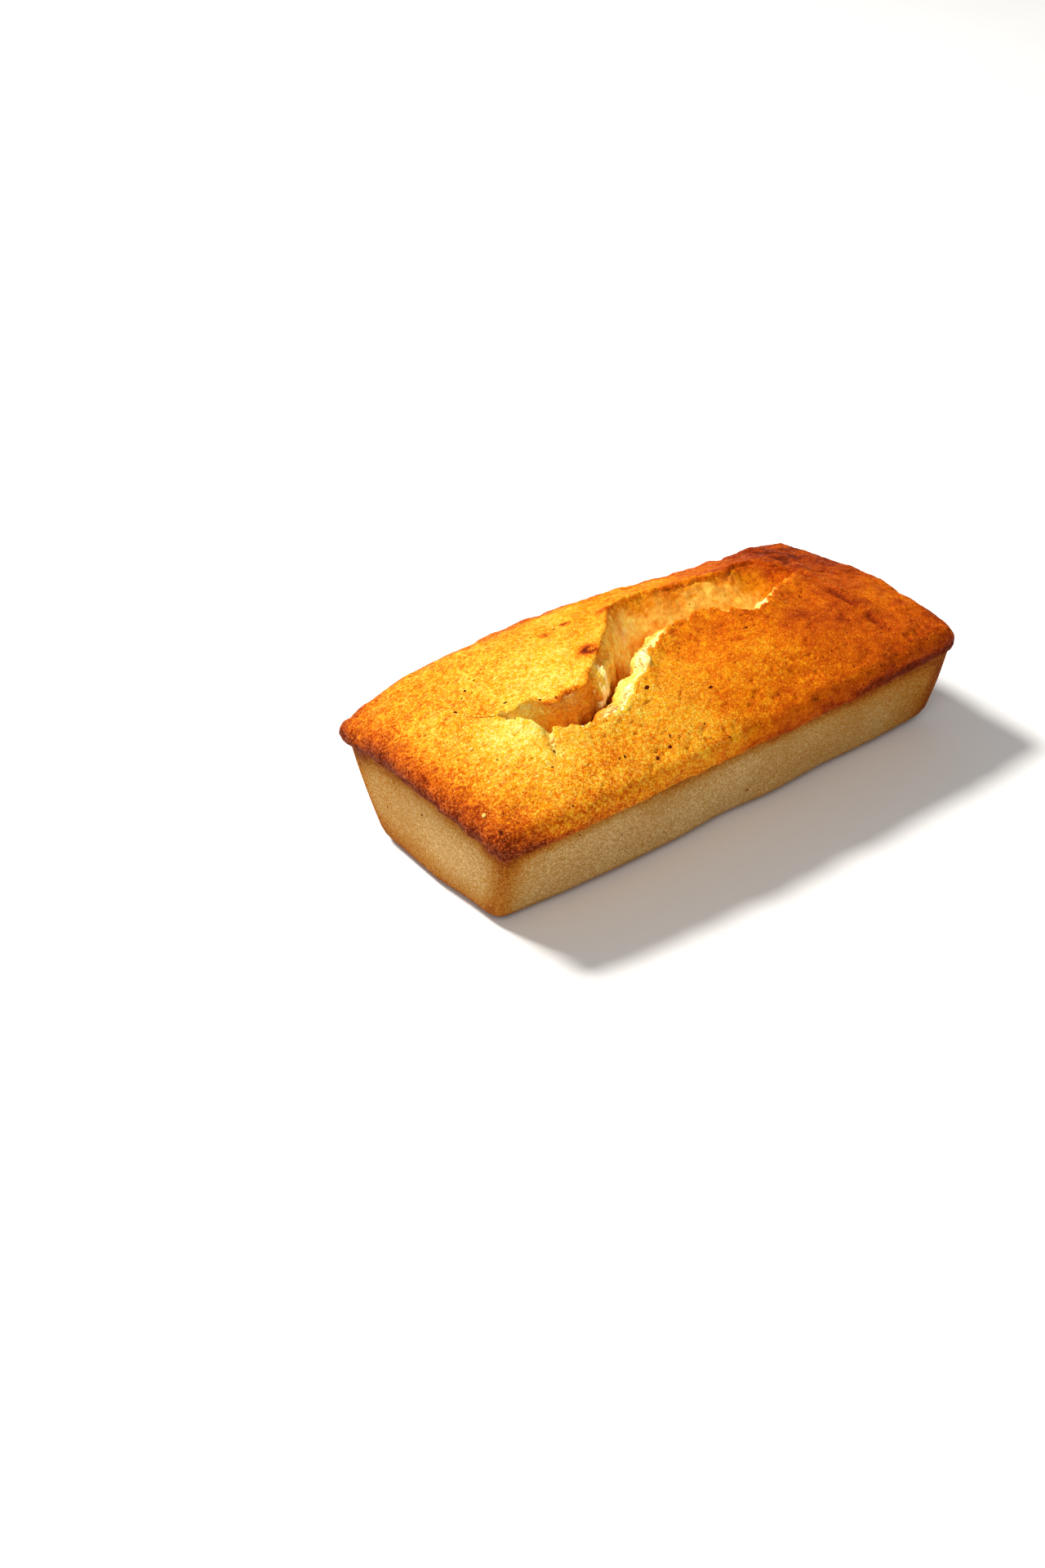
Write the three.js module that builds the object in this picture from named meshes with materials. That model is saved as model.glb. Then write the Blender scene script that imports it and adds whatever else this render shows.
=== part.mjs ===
// Financier: a small almond cake baked in a sloping rectangular mould, with a domed crust that has split along its top.
// Millimetres. The base lies on z = 0, +X runs along the length, -Y is the long side with the low, straight rim.
import * as THREE from "three";

// Body: the mould's taper, from the flat base to the underside of the crust's rim.
const LENGTH = 90; // corner to corner of the rim
const WIDTH = 45;
const BASE_INSET_END = 1; // how far the base lies inside the rim, at the short ends
const BASE_INSET_SIDE = 6.1; // and at the long sides
const BASE_ROUND = 2.5; // radius of the bottom edges
const BASE_CORNER = 0.8; // how far a bottom corner is drawn in
const RIM_CORNER = 0.25; // how far a corner of the rim is drawn in
const SWELL_FRONT = 1.9; // how far each side bows out at the rim, at its middle
const SWELL_BACK = 2.6;
const SWELL_END = 0.9;

// Rim: the crust stands out over the walls.
const UNDER_Z = 15; // underside of the rim
const NOSE_Z = 17.3; // its widest height
const BROW_Z = 19.4; // where it turns into the top
const OVERHANG = 0.9;
const BROW_INSET = 1.5;
const ARCH_LEFT = 2.6; // how far the rim rises at the middle of each side
const ARCH_RIGHT = 2;
const ARCH_BACK = 2.8;
const ARCH_FRONT = 0.8;
const BACK_LEAN = 0.9; // the back rim is highest towards -X
const CORNER_BACK_LEFT = 0.6; // height of three corners of the rim above the front left one
const CORNER_BACK_RIGHT = -1.1;
const CORNER_FRONT_RIGHT = 0.4;

// Dome and its unevenness.
const RISE = 3;
const SWAY = 0.5; // slow bends of the whole body
const SWAY_SIZE = 10;
const CRAG = 0.3; // lumps of the crust's rim
const CRAG_SIZE = 2.4;
const DIMPLE = 0.4; // hollows and swellings of the top
const DIMPLE_SIZE = 7;

// Split: [x, y] along its front lip and its back lip, and [x, depth] of its floor. Both lips end in a hairline.
const FRONT_LIP = [
  [-45, 4.3], [-37, 3.8], [-35.3, 2.8], [-34, 0.6], [-31.9, -1.8], [-30.6, -2.9], [-29.8, -5], [-28.2, -6.9],
  [-27.8, -9.4], [-26.2, -10.9], [-22.5, -12.2], [-19, -13.9], [-15.9, -12.7], [-13.6, -12.9], [-11.8, -11.9],
  [-9.9, -9.4], [-7.1, -9.1], [-3.9, -5.2], [-1.2, -3.1], [4.9, -0.1], [12.8, 0.5], [13.9, -3], [15.4, -2.5],
  [17.6, -5.2], [19.4, -5.5], [25, -1.4], [28, 0.8], [34, 3], [45, 0],
];
const BACK_LIP = [
  [-45, 4.4], [-37, 3.9], [-35.3, 3], [-34, 0.9], [-31.9, -1.4], [-28.8, -2.7], [-24.8, -3], [-24, -5.2],
  [-22.3, -6.1], [-20.6, -5], [-16.8, -5.4], [-14.8, -3.7], [-10.7, -0.3], [-5.3, 4.4], [0.3, 10.6], [3, 12.2],
  [8, 12.4], [15, 10.2], [18, 10.8], [22.5, 9.8], [27, 12.4], [30, 11.4], [31.8, 8], [34, 3.6], [45, 0.4],
];
const FLOOR = [
  [-36, 0], [-34, 0.5], [-31, 1], [-28.5, 5], [-22, 7.5], [-10, 8], [2, 7.5], [20, 6.4], [28, 4.5], [33, 1], [34, 0],
];
const CURL = 0.7; // how far both lips are turned up
const CURL_WIDTH = 2.6;
const LEDGE = 3; // widest shelf of crumb that runs along the front lip, inside the split
const LEDGE_DROP = 0.65; // slope of that shelf
const FLAKE = [-14.2, -7.2]; // reach in x of the torn flake under the back lip
const FLAKE_DEPTH = 0.8; // depth of its upper edge
const FLAKE_SLOPE = 0.6;
const FLAKE_OUT = 2.6; // how far it stands out
const NOTCH = [[-26.8, -9.8], [-28.9, -14.4]]; // short crack that branches off the front lip
const NOTCH_WIDTH = [1.1, 0.4]; // its width and depth at those two ends
const NOTCH_DEPTH = [1.8, 0.8];
const FOLDS = 1.5; // height of the rumpled crust where the split ends
const FOLD_SIZE = 2.7;
const FOLD_PLACE = [31.5, 4];
const FOLD_REACH = [4, 6];

// Mesh: cells along the length, cells across it before, in and behind the split, and rings down the side.
const CELLS_LONG = 78;
const CELLS_FRONT = 13;
const CELLS_SPLIT = 13;
const CELLS_BACK = 14;
const CELLS_WIDE = CELLS_FRONT + CELLS_SPLIT + CELLS_BACK;
const CROWDING = 0.3; // along the length the cells are this much closer at the middle
const LEAST_BAND = 2.4; // width that the cells in the split keep where it closes
const ROUND_RINGS = 3;
const WALL_RINGS = 2;
const RIM_RINGS = 4;

const { lerp, smoothstep, clamp } = THREE.MathUtils;

// The value of a line of [x, value] points at x.
function along(points, x) {
  const after = points.findIndex((p) => p[0] > x);
  const i = after < 0 ? points.length - 1 : Math.max(after, 1);
  const [x0, y0] = points[i - 1];
  const [x1, y1] = points[i];
  return lerp(y0, y1, clamp((x - x0) / (x1 - x0), 0, 1));
}

// Smooth noise from -1 to 1, on a lattice of fixed random values one unit apart.
function lattice(i, j, k) {
  const v = Math.sin(i * 127.1 + j * 311.7 + k * 74.7) * 43758.5453;
  return v - Math.floor(v);
}

function noise(x, y, z) {
  const [i, j, k] = [Math.floor(x), Math.floor(y), Math.floor(z)];
  const [u, v, w] = [smoothstep(x - i, 0, 1), smoothstep(y - j, 0, 1), smoothstep(z - k, 0, 1)];
  const row = (b, c) => lerp(lattice(i, j + b, k + c), lattice(i + 1, j + b, k + c), u);
  return 2 * lerp(lerp(row(0, 0), row(1, 0), v), lerp(row(0, 1), row(1, 1), v), w) - 1;
}

// Everything below is placed by a and b, which run from -1 to 1 along the length and across it.

// How far the crust is raised at a and b: what its four edges and corners give, blended between them.
function arch(a, b) {
  const ends = lerp(ARCH_LEFT, ARCH_RIGHT, (1 + a) / 2) * (1 - b * b);
  const sides = lerp(ARCH_FRONT, ARCH_BACK * (1 - BACK_LEAN * a), (1 + b) / 2) * (1 - a * a);
  const back = lerp(CORNER_BACK_LEFT, CORNER_BACK_RIGHT, (1 + a) / 2);
  return ends + sides + lerp(CORNER_FRONT_RIGHT * (1 + a) / 2, back, (1 + b) / 2);
}

// x and y of the point at a and b of a level that lies inside the rim by the two insets.
function level(a, b, insetEnd, insetSide, corner, swell) {
  const end = swell * SWELL_END * (1 - b * b) - corner * Math.abs(b) ** 14;
  return [
    a * (LENGTH / 2 - insetEnd + end * Math.abs(a) ** 7),
    b * (halfWidth(a, b, insetSide, swell) - corner * Math.abs(a) ** 28),
  ];
}

function halfWidth(a, b, insetSide, swell) {
  return WIDTH / 2 - insetSide + swell * (b < 0 ? SWELL_FRONT : SWELL_BACK) * (1 - Math.abs(a) ** 2.4);
}

// y of the torn front and back lip at x.
function lips(x) {
  return [along(FRONT_LIP, x) + 0.5 * noise(x * 0.6, 3.3, 0), along(BACK_LIP, x) + 0.5 * noise(x * 0.6, 3.3, 0.7)];
}

// Depth of the split at x and y, and how far the crust is turned up or rumpled there.
function split(x, y) {
  const [lip, back] = lips(x);
  const shelf = smoothstep(x, -20.5, -17) * (1 - smoothstep(x, 1, 6)) + 0.15;
  const ledge = Math.min(LEDGE * shelf * (1 + 0.45 * noise(x * 0.6, 2.5, 4)), 0.4 * Math.max(back - lip, 0));
  const width = Math.max(back - lip - ledge, 0.4);
  const across = (y - lip - ledge) / width;
  const wide = smoothstep(x, -2, 8); // towards +X the back wall leans out
  const tip = smoothstep(x, -18, -12) * (1 - smoothstep(x, 0, 6));
  const frontWall = lerp(lerp(0.3, 0.35, tip), 0.2, wide);
  const backWall = lerp(lerp(0.3, 0.42, tip), 0.75, wide);
  const leaning = clamp((1 - across) / backWall, 0, 1);
  const backFall = lerp(smoothstep(1 - across, 0, backWall), leaning, wide);
  const fall = Math.min(smoothstep(across, 0, frontWall), backFall);
  const inside = Math.max(y - lip, 0);
  const under = Math.max(back - y, 0);
  const shelfDepth = LEDGE_DROP * Math.min(inside, ledge) + 0.3 * smoothstep(inside, 0, 0.3);
  const fullDepth = Math.max(Math.min(along(FLOOR, x), 1.3 * width) * fall, Math.min(shelfDepth, along(FLOOR, x), under));
  const depth = lerp(fullDepth, Math.min(fullDepth, FLAKE_DEPTH + FLAKE_SLOPE * under), flake(x, under));
  const gap = Math.max(lip - y, y - back, 0);
  const curl = CURL * smoothstep(back - lip, 0.5, 4) * Math.exp(-((gap / CURL_WIDTH) ** 2)) * (1 - fall);
  return { depth, curl: curl + FOLDS * rumpled(x, y) * smoothstep(gap, 0, 0.8) };
}

// How far x lies within the flake's reach, and the point is less than its width from the back lip.
function flake(x, under) {
  const reach = smoothstep(x, FLAKE[0] - 0.8, FLAKE[0]) * (1 - smoothstep(x, FLAKE[1], FLAKE[1] + 0.8));
  return reach * (1 - smoothstep(under + 0.8 * noise(x * 1.2, 7.7, 0), FLAKE_OUT, FLAKE_OUT + 0.5));
}

// Folds of the crust round the split's end.
function rumpled(x, y) {
  const [u, v] = [(x - FOLD_PLACE[0]) / FOLD_REACH[0], (y - FOLD_PLACE[1]) / FOLD_REACH[1]];
  return Math.exp(-u * u - v * v) * noise(x / FOLD_SIZE, y / FOLD_SIZE, 5.5);
}

function notch(x, y) {
  const [[x0, y0], [x1, y1]] = NOTCH;
  const t = clamp(((x - x0) * (x1 - x0) + (y - y0) * (y1 - y0)) / ((x1 - x0) ** 2 + (y1 - y0) ** 2), 0, 1);
  const d = Math.hypot(x - lerp(x0, x1, t), y - lerp(y0, y1, t));
  return lerp(...NOTCH_DEPTH, t) * (1 - smoothstep(d, 0, lerp(...NOTCH_WIDTH, t)));
}

// The dome, its dimples and its split.
function top(a, b, x, y) {
  const shifted = b - 0.12 * (1 - b * b);
  const dome = RISE * (1 - Math.abs(a) ** 4.2) * (1 - Math.abs(shifted) ** 3.2);
  const inner = smoothstep(1 - Math.max(Math.abs(a), Math.abs(b)), 0, 0.12);
  const dimple = DIMPLE * inner * noise(x / DIMPLE_SIZE, y / DIMPLE_SIZE, 1.5);
  const cut = split(x, y);
  return BROW_Z + arch(a, b) + dome + dimple + cut.curl - cut.depth - notch(x, y);
}

// Rings of the side from the base to the brow: [end inset, side inset, corner, swell, z].
const rings = [];
for (let i = 0; i <= ROUND_RINGS; i++) {
  const turn = (Math.PI / 2) * (i / ROUND_RINGS);
  const z = BASE_ROUND * (1 - Math.cos(turn));
  rings.push(wall(z, BASE_ROUND * (1 - Math.sin(turn))));
}
for (let i = 1; i <= WALL_RINGS; i++) rings.push(wall(lerp(BASE_ROUND, UNDER_Z - 0.5, i / WALL_RINGS), 0));
for (let i = 1; i <= RIM_RINGS; i++) {
  const turn = lerp(-0.5, 0.27, i / RIM_RINGS) * Math.PI;
  const up = turn > 0 ? 1 / Math.sin(0.27 * Math.PI) : 1;
  const z = NOSE_Z + (turn > 0 ? BROW_Z - NOSE_Z : NOSE_Z - UNDER_Z) * up * Math.sin(turn);
  const inset = turn > 0 ? BROW_INSET * (1 - Math.cos(turn)) / (1 - Math.cos(0.27 * Math.PI)) : OVERHANG * (1 - Math.cos(turn));
  rings.push([inset, inset, RIM_CORNER, 1, z]);
}

function wall(z, rounding) {
  const low = 1 - z / UNDER_Z;
  return [
    lerp(OVERHANG, BASE_INSET_END, low) + rounding,
    lerp(OVERHANG, BASE_INSET_SIDE, low) + rounding,
    lerp(RIM_CORNER, BASE_CORNER, low),
    0.35 + (0.5 * z) / NOSE_Z,
    z,
  ];
}

// Bends a finished point a little, more towards the crust, and leaves the base flat.
function weathered(x, y, z, edge) {
  const free = smoothstep(z, 0, 6);
  const rim = CRAG * smoothstep(z, UNDER_Z - 1, NOSE_Z) * edge;
  const bend = (seed) => SWAY * noise(x / SWAY_SIZE, y / SWAY_SIZE, z / SWAY_SIZE + seed);
  const lump = (seed) => rim * noise(x / CRAG_SIZE, y / CRAG_SIZE, z / CRAG_SIZE + seed);
  return [x + bend(20) + lump(50), y + bend(30) + lump(60), z + free * (0.6 * bend(40) + lump(70))];
}

// a of each row of points along the length.
const A = Array.from({ length: CELLS_LONG + 1 }, (_, i) => {
  const t = (2 * i) / CELLS_LONG - 1;
  return t - (CROWDING * Math.sin(Math.PI * t)) / Math.PI;
});

// b of each point of the row at a: the rows' points follow both lips of the split.
function row(a) {
  const [front, back] = lips(a * (LENGTH / 2 - BROW_INSET));
  const spare = Math.max(LEAST_BAND - (back - front), 0) / 2;
  const [b0, b1] = [front - spare, back + spare].map((y) => y / halfWidth(a, y, BROW_INSET, 1));
  return Array.from({ length: CELLS_WIDE + 1 }, (_, j) => {
    if (j < CELLS_FRONT) return lerp(-1, b0, j / CELLS_FRONT);
    if (j < CELLS_FRONT + CELLS_SPLIT) return lerp(b0, b1, (j - CELLS_FRONT) / CELLS_SPLIT);
    return lerp(b1, 1, (j - CELLS_FRONT - CELLS_SPLIT) / CELLS_BACK);
  });
}

function cakeGeometry() {
  const B = A.map(row);
  const position = [];
  const index = [];
  const at = (i, j) => i * (CELLS_WIDE + 1) + j;
  const quad = (p, q, r, s) => index.push(p, q, r, p, r, s);

  // Top.
  const brow = rings.at(-1);
  A.forEach((a, i) =>
    B[i].forEach((b) => {
      const [x, y] = level(a, b, ...brow.slice(0, 4));
      const edge = smoothstep(Math.max(Math.abs(a), Math.abs(b)), 0.8, 1);
      position.push(...weathered(x, y, top(a, b, x, y), edge));
    }),
  );
  for (let i = 0; i < CELLS_LONG; i++)
    for (let j = 0; j < CELLS_WIDE; j++) quad(at(i, j), at(i + 1, j), at(i + 1, j + 1), at(i, j + 1));

  // The top's border, once round, and the rings of the side hung below it.
  const border = [];
  for (let i = 0; i < CELLS_LONG; i++) border.push([i, 0]);
  for (let j = 0; j < CELLS_WIDE; j++) border.push([CELLS_LONG, j]);
  for (let i = CELLS_LONG; i > 0; i--) border.push([i, CELLS_WIDE]);
  for (let j = CELLS_WIDE; j > 0; j--) border.push([0, j]);
  let above = border.map(([i, j]) => at(i, j));
  for (const [insetEnd, insetSide, corner, swell, z] of rings.slice(0, -1).reverse()) {
    const ring = border.map(([i, j]) => {
      const [x, y] = level(A[i], B[i][j], insetEnd, insetSide, corner, swell);
      const raised = z + arch(A[i], B[i][j]) * smoothstep(z, BASE_ROUND, UNDER_Z);
      position.push(...weathered(x, y, raised, 1));
      return position.length / 3 - 1;
    });
    ring.forEach((v, n) => {
      const next = (n + 1) % ring.length;
      quad(above[n], v, ring[next], above[next]);
    });
    above = ring;
  }

  // The flat base.
  position.push(0, 0, 0);
  const centre = position.length / 3 - 1;
  above.forEach((v, n) => index.push(v, centre, above[(n + 1) % above.length]));

  const geometry = new THREE.BufferGeometry();
  geometry.setAttribute("position", new THREE.Float32BufferAttribute(position, 3));
  geometry.setIndex(index);
  geometry.computeBoundingBox();
  const middle = geometry.boundingBox.getCenter(new THREE.Vector3());
  geometry.translate(-middle.x, -middle.y, 0);
  geometry.computeVertexNormals();
  return geometry;
}

const crust = new THREE.MeshStandardMaterial({ color: 0xd98a2b, roughness: 0.72, metalness: 0 });
const cake = new THREE.Mesh(cakeGeometry(), crust);
cake.name = "cake";

const financier = new THREE.Group();
financier.add(cake);
export default financier;
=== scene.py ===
"""A financier: a small almond cake with a split, golden crust.

Blender works in metres. The shape's formulas, and every size named here, are in millimetres, with x
along the cake from its left end, y from the front to the back and z up from the base.
"""

import math

import bmesh
import bpy
import numpy as np
from mathutils import Matrix, Vector
from mathutils.bvhtree import BVHTree


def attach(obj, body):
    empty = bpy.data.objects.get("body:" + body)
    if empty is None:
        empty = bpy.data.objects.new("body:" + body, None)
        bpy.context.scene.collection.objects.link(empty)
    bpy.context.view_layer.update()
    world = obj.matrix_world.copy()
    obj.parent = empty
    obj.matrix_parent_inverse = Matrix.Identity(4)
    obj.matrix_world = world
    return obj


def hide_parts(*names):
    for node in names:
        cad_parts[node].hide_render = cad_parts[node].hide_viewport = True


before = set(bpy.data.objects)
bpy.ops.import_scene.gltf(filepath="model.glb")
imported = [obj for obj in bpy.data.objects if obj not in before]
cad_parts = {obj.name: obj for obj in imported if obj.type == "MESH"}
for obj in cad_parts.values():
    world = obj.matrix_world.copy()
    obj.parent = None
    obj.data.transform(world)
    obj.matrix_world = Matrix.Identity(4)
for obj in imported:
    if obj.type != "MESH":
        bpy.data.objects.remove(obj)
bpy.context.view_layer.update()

# --- The solid's named sizes, in millimetres ------------------------------------------------------

LENGTH, WIDTH = 90, 45
BASE_INSET_END, BASE_INSET_SIDE, BASE_ROUND, BASE_CORNER, RIM_CORNER = 1, 6.1, 2.5, 0.8, 0.25
SWELL_FRONT, SWELL_BACK, SWELL_END = 1.9, 2.6, 0.9
UNDER_Z, NOSE_Z, BROW_Z, OVERHANG, BROW_INSET = 15, 17.3, 19.4, 0.9, 1.5
ARCH_LEFT, ARCH_RIGHT, ARCH_BACK, ARCH_FRONT, BACK_LEAN = 2.6, 2, 2.8, 0.8, 0.9
CORNER_BACK_LEFT, CORNER_BACK_RIGHT, CORNER_FRONT_RIGHT = 0.6, -1.1, 0.4
RISE, SWAY, SWAY_SIZE, CRAG, CRAG_SIZE, DIMPLE, DIMPLE_SIZE = 3, 0.5, 10, 0.3, 2.4, 0.4, 7
FRONT_LIP = [
    (-45, 4.3), (-37, 3.8), (-35.3, 2.8), (-34, 0.6), (-31.9, -1.8), (-30.6, -2.9), (-29.8, -5),
    (-28.2, -6.9), (-27.8, -9.4), (-26.2, -10.9), (-22.5, -12.2), (-19, -13.9), (-15.9, -12.7),
    (-13.6, -12.9), (-11.8, -11.9), (-9.9, -9.4), (-7.1, -9.1), (-3.9, -5.2), (-1.2, -3.1),
    (4.9, -0.1), (12.8, 0.5), (13.9, -3), (15.4, -2.5), (17.6, -5.2), (19.4, -5.5), (25, -1.4),
    (28, 0.8), (34, 3), (45, 0),
]  # fmt: skip
BACK_LIP = [
    (-45, 4.4), (-37, 3.9), (-35.3, 3), (-34, 0.9), (-31.9, -1.4), (-28.8, -2.7), (-24.8, -3),
    (-24, -5.2), (-22.3, -6.1), (-20.6, -5), (-16.8, -5.4), (-14.8, -3.7), (-10.7, -0.3),
    (-5.3, 4.4), (0.3, 10.6), (3, 12.2), (8, 12.4), (15, 10.2), (18, 10.8), (22.5, 9.8),
    (27, 12.4), (30, 11.4), (31.8, 8), (34, 3.6), (45, 0.4),
]  # fmt: skip
FLOOR = [
    (-36, 0), (-34, 0.5), (-31, 1), (-28.5, 5), (-22, 7.5), (-10, 8), (2, 7.5), (20, 6.4),
    (28, 4.5), (33, 1), (34, 0),
]  # fmt: skip
CURL, CURL_WIDTH, FRAY_WIDTH = 0.7, 2.6, 1.1
NOTCH, NOTCH_WIDTH, NOTCH_DEPTH = ((-26.8, -9.8), (-28.9, -14.4)), (1.1, 0.4), (1.8, 0.8)
LEDGE, LEDGE_DROP, LEDGE_SHARE, LEDGE_SPAN = 3, 0.65, 0.15, (-20.5, -17, 1, 6)
RIGHT_LEDGE_X, RIGHT_LEDGE_REACH, RIGHT_LEDGE_SHARE = 22.3, 1.7, 0.55
FLAKE, FLAKE_DEPTH, FLAKE_SLOPE, FLAKE_OUT = (-14.2, -7.2), 0.7, 0.4, 2.8
FOLDS, FOLD_SIZE, FOLDS_AT, FOLDS_REACH = 1.5, 2.7, (31.5, 4), (4, 6)

# --- The fine mesh --------------------------------------------------------------------------------

CELLS_LONG, CELLS_FRONT, CELLS_SPLIT, CELLS_BACK = 324, 68, 92, 52
CROWDING, LEAST_BAND, STEPS = 0.12, 2.4, 320
ROUND_RINGS, WALL_RINGS, RIM_RINGS = 4, 6, 14
NO_GAP, BASE_FALL = 30, 20  # off the top: far from any lip; from the base's edge to its middle


def lerp(a, b, t):
    return a + (b - a) * t


def smoothstep(x, low, high):
    t = np.clip((x - low) / (high - low), 0, 1)
    return t * t * (3 - 2 * t)


def between(x, start, full, fading, end):
    """0 up to start, 1 from full to fading, and 0 again from end on."""
    return smoothstep(x, start, full) * (1 - smoothstep(x, fading, end))


def bell(distance, reach, power=2):
    """1 where the distance is 0, falling off on both sides."""
    return np.exp(-(np.abs(distance / reach) ** power))


def up_to(distance, reach, power=2):
    """1 up to a distance of 0, falling off beyond it."""
    return bell(np.clip(distance, 0, None), reach, power)


def along(points, x):
    """y at x of the line through the points."""
    return np.interp(x, [p[0] for p in points], [p[1] for p in points])


def lattice(i, j, k):
    v = np.sin(i * 127.1 + j * 311.7 + k * 74.7) * 43758.5453
    return v - np.floor(v)


def noise(x, y, z):
    """Smooth noise from -1 to 1, on a lattice of fixed random values one unit apart."""
    x, y, z = np.broadcast_arrays(*(np.asarray(c, float) for c in (x, y, z)))
    i, j, k = np.floor(x), np.floor(y), np.floor(z)
    u, v, w = (smoothstep(c, 0, 1) for c in (x - i, y - j, z - k))

    def row(b, c):
        return lerp(lattice(i, j + b, k + c), lattice(i + 1, j + b, k + c), u)

    return 2 * lerp(lerp(row(0, 0), row(1, 0), v), lerp(row(0, 1), row(1, 1), v), w) - 1


def grain(p, size, seed):
    """noise() of the points p, with lumps of that size."""
    return noise(p[:, 0] / size + seed, p[:, 1] / size + 1.7 * seed, p[:, 2] / size + 0.3 * seed)


def granules(p, size, seed):
    """Round granules of that size side by side: 0 in the gaps between them, 1 at their middles."""
    q = p / size + seed
    cell = np.floor(q)
    nearest = np.full(len(p), 9.0)
    for step in np.ndindex(3, 3, 3):
        i, j, k = (cell + np.array(step) - 1).T
        at = [c + lattice(i + 17 * n, j - 5 * n, k + 3 * n) for n, c in enumerate((i, j, k))]
        nearest = np.minimum(nearest, sum((q[:, n] - at[n]) ** 2 for n in range(3)))
    return 1 - np.clip(nearest / 0.8, 0, 1)


def arch(a, b):
    """How much higher the rim is at a, b than at its front left corner."""
    ends = lerp(ARCH_LEFT, ARCH_RIGHT, (1 + a) / 2) * (1 - b * b)
    sides = lerp(ARCH_FRONT, ARCH_BACK * (1 - BACK_LEAN * a), (1 + b) / 2) * (1 - a * a)
    back = lerp(CORNER_BACK_LEFT, CORNER_BACK_RIGHT, (1 + a) / 2)
    return ends + sides + lerp(CORNER_FRONT_RIGHT * (1 + a) / 2, back, (1 + b) / 2)


def half_width(a, b, inset_side, swell):
    """How far a side stands from the middle line; a and b run from -1 to 1 over the cake."""
    swelling = swell * np.where(b < 0, SWELL_FRONT, SWELL_BACK) * (1 - np.abs(a) ** 2.4)
    return WIDTH / 2 - inset_side + swelling


def level(a, b, inset_end, inset_side, corner, swell):
    """x and y of the place a, b on a level with those insets, rounded corners and swelling."""
    end = swell * SWELL_END * (1 - b * b) - corner * np.abs(b) ** 14
    x = a * (LENGTH / 2 - inset_end + end * np.abs(a) ** 7)
    return x, b * (half_width(a, b, inset_side, swell) - corner * np.abs(a) ** 28)


def lips(x):
    """y of the torn front and back lip at x."""
    front, back = (0.5 * noise(x * 0.6, 3.3, z) for z in (0, 0.7))
    return along(FRONT_LIP, x) + front, along(BACK_LIP, x) + back


def frayed(x, y):
    """y as the split sees it: moved a little near a lip, so that the crust's edge is uneven."""
    lip, back = lips(x)
    torn = smoothstep(back - lip, 0.8, 3)
    front_fray = 0.5 * noise(x * 1.1, 5.1, 0) + 0.28 * noise(x * 2.4, 6.2, 0)
    back_fray = 0.3 * noise(x * 0.9, 8.1, 0) + smoothstep(x, -2, 5) * 0.3 * noise(x * 2.1, 9.2, 0)
    moved = front_fray * bell(y - lip, FRAY_WIDTH) + back_fray * bell(y - back, FRAY_WIDTH)
    return y + torn * moved


def ledge_width(x, room):
    """Width of the shelf of torn crumb under the front lip, where the split is room wide."""
    width = between(x, *LEDGE_SPAN) + LEDGE_SHARE
    width = LEDGE * (width + RIGHT_LEDGE_SHARE * bell(x - RIGHT_LEDGE_X, RIGHT_LEDGE_REACH))
    width = width * (1 + 0.45 * noise(x * 0.6, 2.5, 4) + 0.35 * noise(x * 1.7, 3.5, 4))
    return np.minimum(width, 0.4 * np.maximum(room, 0))


def split(x, y):
    """The split at x, y: its depth, how far its lips turn up, the distance out of it, whether its
    flake is there, and the distance into it from the front lip."""
    lip, back = lips(x)
    y = frayed(x, y)
    ledge = ledge_width(x, back - lip)
    width = np.maximum(back - lip - ledge, 0.4)
    across = (y - lip - ledge) / width
    wide = smoothstep(x, -2, 8)
    tip = between(x, -18, -12, 0, 6)
    front_wall = lerp(lerp(0.3, 0.35, tip), 0.2, wide)
    back_wall = lerp(lerp(0.3, 0.42, tip), 0.75, wide)
    rounded = smoothstep(1 - across, 0, back_wall)
    straight = np.clip((1 - across) / back_wall, 0, 1)
    fall = np.minimum(smoothstep(across, 0, front_wall), lerp(rounded, straight, wide))
    floor = along(FLOOR, x)
    depth = np.minimum(floor, 1.3 * width) * fall
    inside = np.clip(y - lip, 0, None)
    under = np.clip(back - y, 0, None)
    shelf = LEDGE_DROP * np.minimum(inside, ledge) + 0.3 * smoothstep(inside, 0, 0.3)
    depth = np.maximum(depth, np.minimum.reduce([shelf, floor, under]))
    flake = between(x, FLAKE[0] - 0.8, FLAKE[0], FLAKE[1], FLAKE[1] + 0.8)
    reach = under + 0.8 * noise(x * 1.2, 7.7, 0) + 0.4 * noise(x * 2.6, 6.7, 0)
    flake *= (1 - smoothstep(reach, FLAKE_OUT, FLAKE_OUT + 0.5)) * (under > 0)
    depth = lerp(depth, np.minimum(depth, FLAKE_DEPTH + FLAKE_SLOPE * under), flake)
    gap = np.maximum(np.maximum(lip - y, y - back), 0)
    curl = CURL * smoothstep(back - lip, 0.5, 4) * bell(gap, CURL_WIDTH) * (1 - fall)
    folded = bell(x - FOLDS_AT[0], FOLDS_REACH[0]) * bell(y - FOLDS_AT[1], FOLDS_REACH[1])
    folded *= smoothstep(gap, 0.0, 0.8)
    curl = curl + FOLDS * folded * noise(x / FOLD_SIZE, y / FOLD_SIZE, 5.5)
    return depth, curl, gap, flake, inside


def notch(x, y):
    """Depth of the short side crack, which runs down from the front lip."""
    (x0, y0), (x1, y1) = NOTCH
    run_x, run_y = x1 - x0, y1 - y0
    t = np.clip(((x - x0) * run_x + (y - y0) * run_y) / (run_x**2 + run_y**2), 0, 1)
    d = np.hypot(x - lerp(x0, x1, t), y - lerp(y0, y1, t))
    return lerp(*NOTCH_DEPTH, t) * (1 - smoothstep(d, 0, lerp(*NOTCH_WIDTH, t)))


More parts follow.
